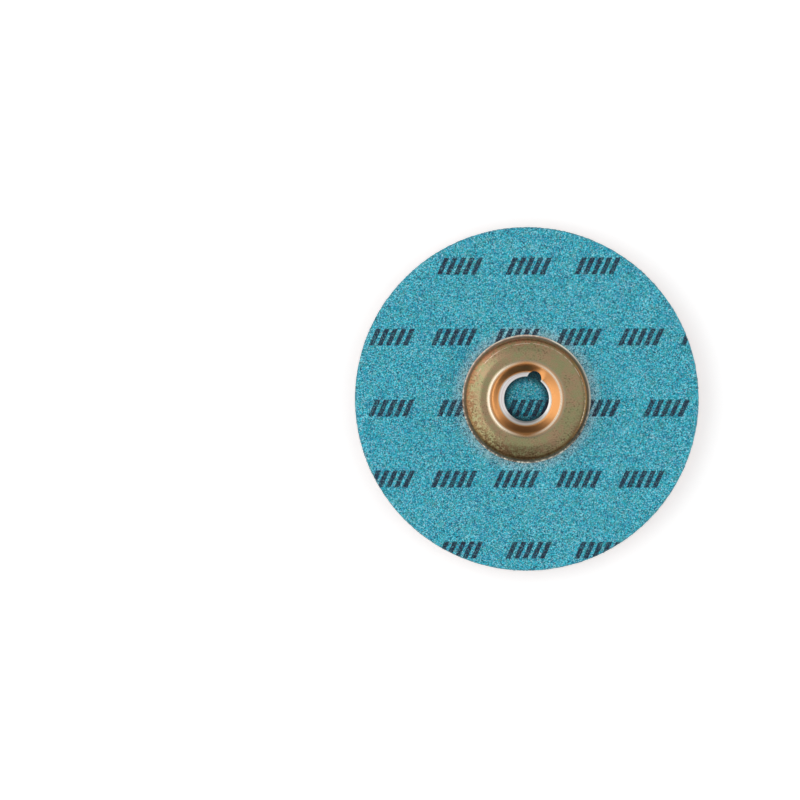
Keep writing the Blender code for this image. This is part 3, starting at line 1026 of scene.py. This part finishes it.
def studio_world(look):
    """Even light with two darker ends, beyond the picture's top and bottom. The camera
    itself sees white."""
    world = bpy.data.worlds.new("studio")
    world.use_nodes = True
    tree = world.node_tree
    background = tree.nodes["Background"]
    background.inputs["Color"].default_value = (1.0, 1.0, 1.0, 1.0)
    shown = make(tree, "ShaderNodeLightPath", output="Is Camera Ray")
    way = make(tree, "ShaderNodeTexCoord", output="Generated")
    dark_end = rise((split(way)[1] - 0.06).to("ABSOLUTE"), 0.55, 0.85)
    around = (1.0 - dark_end * look.end_shade) * look.fill_level
    put(tree, background.inputs["Strength"], shown + (1.0 - shown) * around)
    return world


# Operators

class DISC_OT_stage(bpy.types.Operator):
    """Sets up the floor, the soft boxes, the world and the camera"""

    bl_idname = "disc.build_stage"
    bl_label = "Build stage"

    def execute(self, context):
        look = context.scene.disc_stage
        context.scene.camera = top_camera(look)
        context.scene.view_settings.view_transform = "Standard"
        context.scene.world = studio_world(look)
        soft_box("left_box", math.radians(-53.0), 0.9, look.left_level)
        soft_box("right_box", math.radians(77.0), 0.4, look.right_level)
        rim = ring_points(FLOOR_RADIUS, 0.0, 64)
        floor = new_object("floor", mesh_of("floor", rim, [tuple(range(64))]))
        floor.data.materials.append(paper_material())
        return {"FINISHED"}


class DISC_OT_web(bpy.types.Operator):
    """Builds the nonwoven web: a dark core, three layers of face fibres and the edge fibres"""

    bl_idname = "disc.build_web"
    bl_label = "Build web"

    def execute(self, context):
        look = context.scene.disc_web
        core = new_object("web_core", web_core_mesh(look))
        core.data.shade_smooth()
        core.data.materials.append(core_material(look))
        finished(core, "abrasive_web", "abrasive_web")

        tree = fibre_tree()
        material = fibre_material(look)
        reach = DISC_RADIUS - 0.3 * MM
        wall = wall_guide("edge", DISC_RADIUS - 0.4 * MM, 0.3 * MM, WEB_TOP)
        face, edge = look.face_density, look.edge_density
        for name, guide, density, layer, seed in (
                ("web_face_fibres", face_guide("face", reach, 0.3 * MM), face, 0.4 * MM, 11),
                ("web_middle_fibres", face_guide("middle", reach, 0.6 * MM), face, 0.5 * MM, 17),
                ("web_deep_fibres", face_guide("deep", reach, 0.9 * MM), face, 0.7 * MM, 23),
                ("web_edge_fibres", wall, edge, 1.0 * MM, 37)):
            fibres = new_object(name, guide)
            add_tree(fibres, tree, {
                "Density": density, "Length": look.fibre_length,
                "Thickness": look.fibre_thickness, "Wander": look.wander,
                "Bend Spacing": look.bend_spacing, "Layer Depth": layer,
                "Trim Radius": DISC_RADIUS - look.fibre_thickness / 2,
                "Low": look.fibre_thickness / 2, "High": WEB_TOP,
                "Seed": seed, "Material": material})
            finished(fibres, "abrasive_web").data.shade_smooth()
        return {"FINISHED"}


class DISC_OT_cloth(bpy.types.Operator):
    """Builds the backing cloth with its printed marks, and the cut threads of its edge"""

    bl_idname = "disc.build_cloth"
    bl_label = "Build cloth"

    def execute(self, context):
        look = context.scene.disc_cloth
        cloth = new_object("cloth", cloth_mesh())
        cloth.data.shade_smooth()
        cloth.data.materials.append(cloth_material(look))
        finished(cloth, "backing_cloth", "backing_cloth")

        low, high = CLOTH_BASE + CLOTH_EASE, CLOTH_TOP - CLOTH_EASE
        wall = wall_guide("threads", DISC_RADIUS - 0.05 * MM, low, high)
        threads = new_object("cloth_threads", wall)
        add_tree(threads, fibre_tree(), {
            "Density": look.thread_density, "Length": look.thread_length,
            "Thickness": look.thread_thickness, "Points": 6, "Wander": 0.35 * MM,
            "Bend Spacing": 0.8 * MM, "Layer Depth": 0.05 * MM,
            "Trim Radius": DISC_RADIUS + 0.12 * MM, "Trim Depth": 0.1 * MM,
            "Low": CLOTH_BASE, "High": CLOTH_TOP - 0.05 * MM, "Seed": 53,
            "Material": cut_thread_material(look)})
        finished(threads, "backing_cloth").data.shade_smooth()
        return {"FINISHED"}


class DISC_OT_hub(bpy.types.Operator):
    """Builds the stamped hub with its wound lip and its notch"""

    bl_idname = "disc.build_hub"
    bl_label = "Build hub"

    def execute(self, context):
        look = context.scene.disc_hub
        hub = new_object("stamped_hub", section_mesh(look))
        turned = hub.modifiers.new("turned", "SCREW")
        turned.steps = turned.render_steps = HUB_STEPS
        turned.use_merge_vertices = True
        turned.merge_threshold = 0.001 * MM
        turned.use_normal_calculate = True
        half_angle = math.asin(look.notch_width / look.bore_diameter)
        margin = math.radians(2.0)
        add_tree(hub, winding_tree(), {
            "Pitch": look.thread_pitch,
            "Start": look.notch_angle - half_angle - margin,
            "Return": 2 * (half_angle + margin), "Notch Width": look.notch_width,
            "Notch Reach": look.notch_reach, "Notch Angle": look.notch_angle,
            "Material": zinc_material(look)})
        mesh = finished(hub, "hub_steel", "hub").data
        mesh.shade_smooth()
        mesh.set_sharp_from_angle(angle=math.radians(40))
        return {"FINISHED"}


class DISC_OT_adhesive(bpy.types.Operator):
    """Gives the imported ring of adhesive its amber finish"""

    bl_idname = "disc.finish_adhesive"
    bl_label = "Finish adhesive"

    def execute(self, context):
        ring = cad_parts["hub_adhesive"]
        ring.data.materials.clear()
        ring.data.materials.append(adhesive_material(context.scene.disc_adhesive))
        return {"FINISHED"}


class DISC_PT_panel(bpy.types.Panel):
    """Sizes, colours and builders of the disc"""

    bl_idname = "DISC_PT_panel"
    bl_label = "Surface conditioning disc"
    bl_space_type = "VIEW_3D"
    bl_region_type = "UI"
    bl_category = "Disc"

    def draw(self, context):
        for name, settings, operator in PARTS:
            box = self.layout.box()
            values = getattr(context.scene, name)
            for label in settings.__annotations__:
                box.prop(values, label)
            box.operator(operator.bl_idname)


PARTS = (
    ("disc_stage", DiscStageSettings, DISC_OT_stage),
    ("disc_web", DiscWebSettings, DISC_OT_web),
    ("disc_cloth", DiscClothSettings, DISC_OT_cloth),
    ("disc_hub", DiscHubSettings, DISC_OT_hub),
    ("disc_adhesive", DiscAdhesiveSettings, DISC_OT_adhesive),
)


def register():
    for name, settings, operator in PARTS:
        bpy.utils.register_class(settings)
        bpy.utils.register_class(operator)
        setattr(bpy.types.Scene, name, bpy.props.PointerProperty(type=settings))
    bpy.utils.register_class(DISC_PT_panel)


def unregister():
    bpy.utils.unregister_class(DISC_PT_panel)
    for name, settings, operator in reversed(PARTS):
        delattr(bpy.types.Scene, name)
        bpy.utils.unregister_class(operator)
        bpy.utils.unregister_class(settings)


def main():
    register()
    bpy.ops.disc.build_stage()
    bpy.ops.disc.build_web()
    bpy.ops.disc.build_cloth()
    bpy.ops.disc.build_hub()
    bpy.ops.disc.finish_adhesive()


if __name__ == "__main__":
    main()
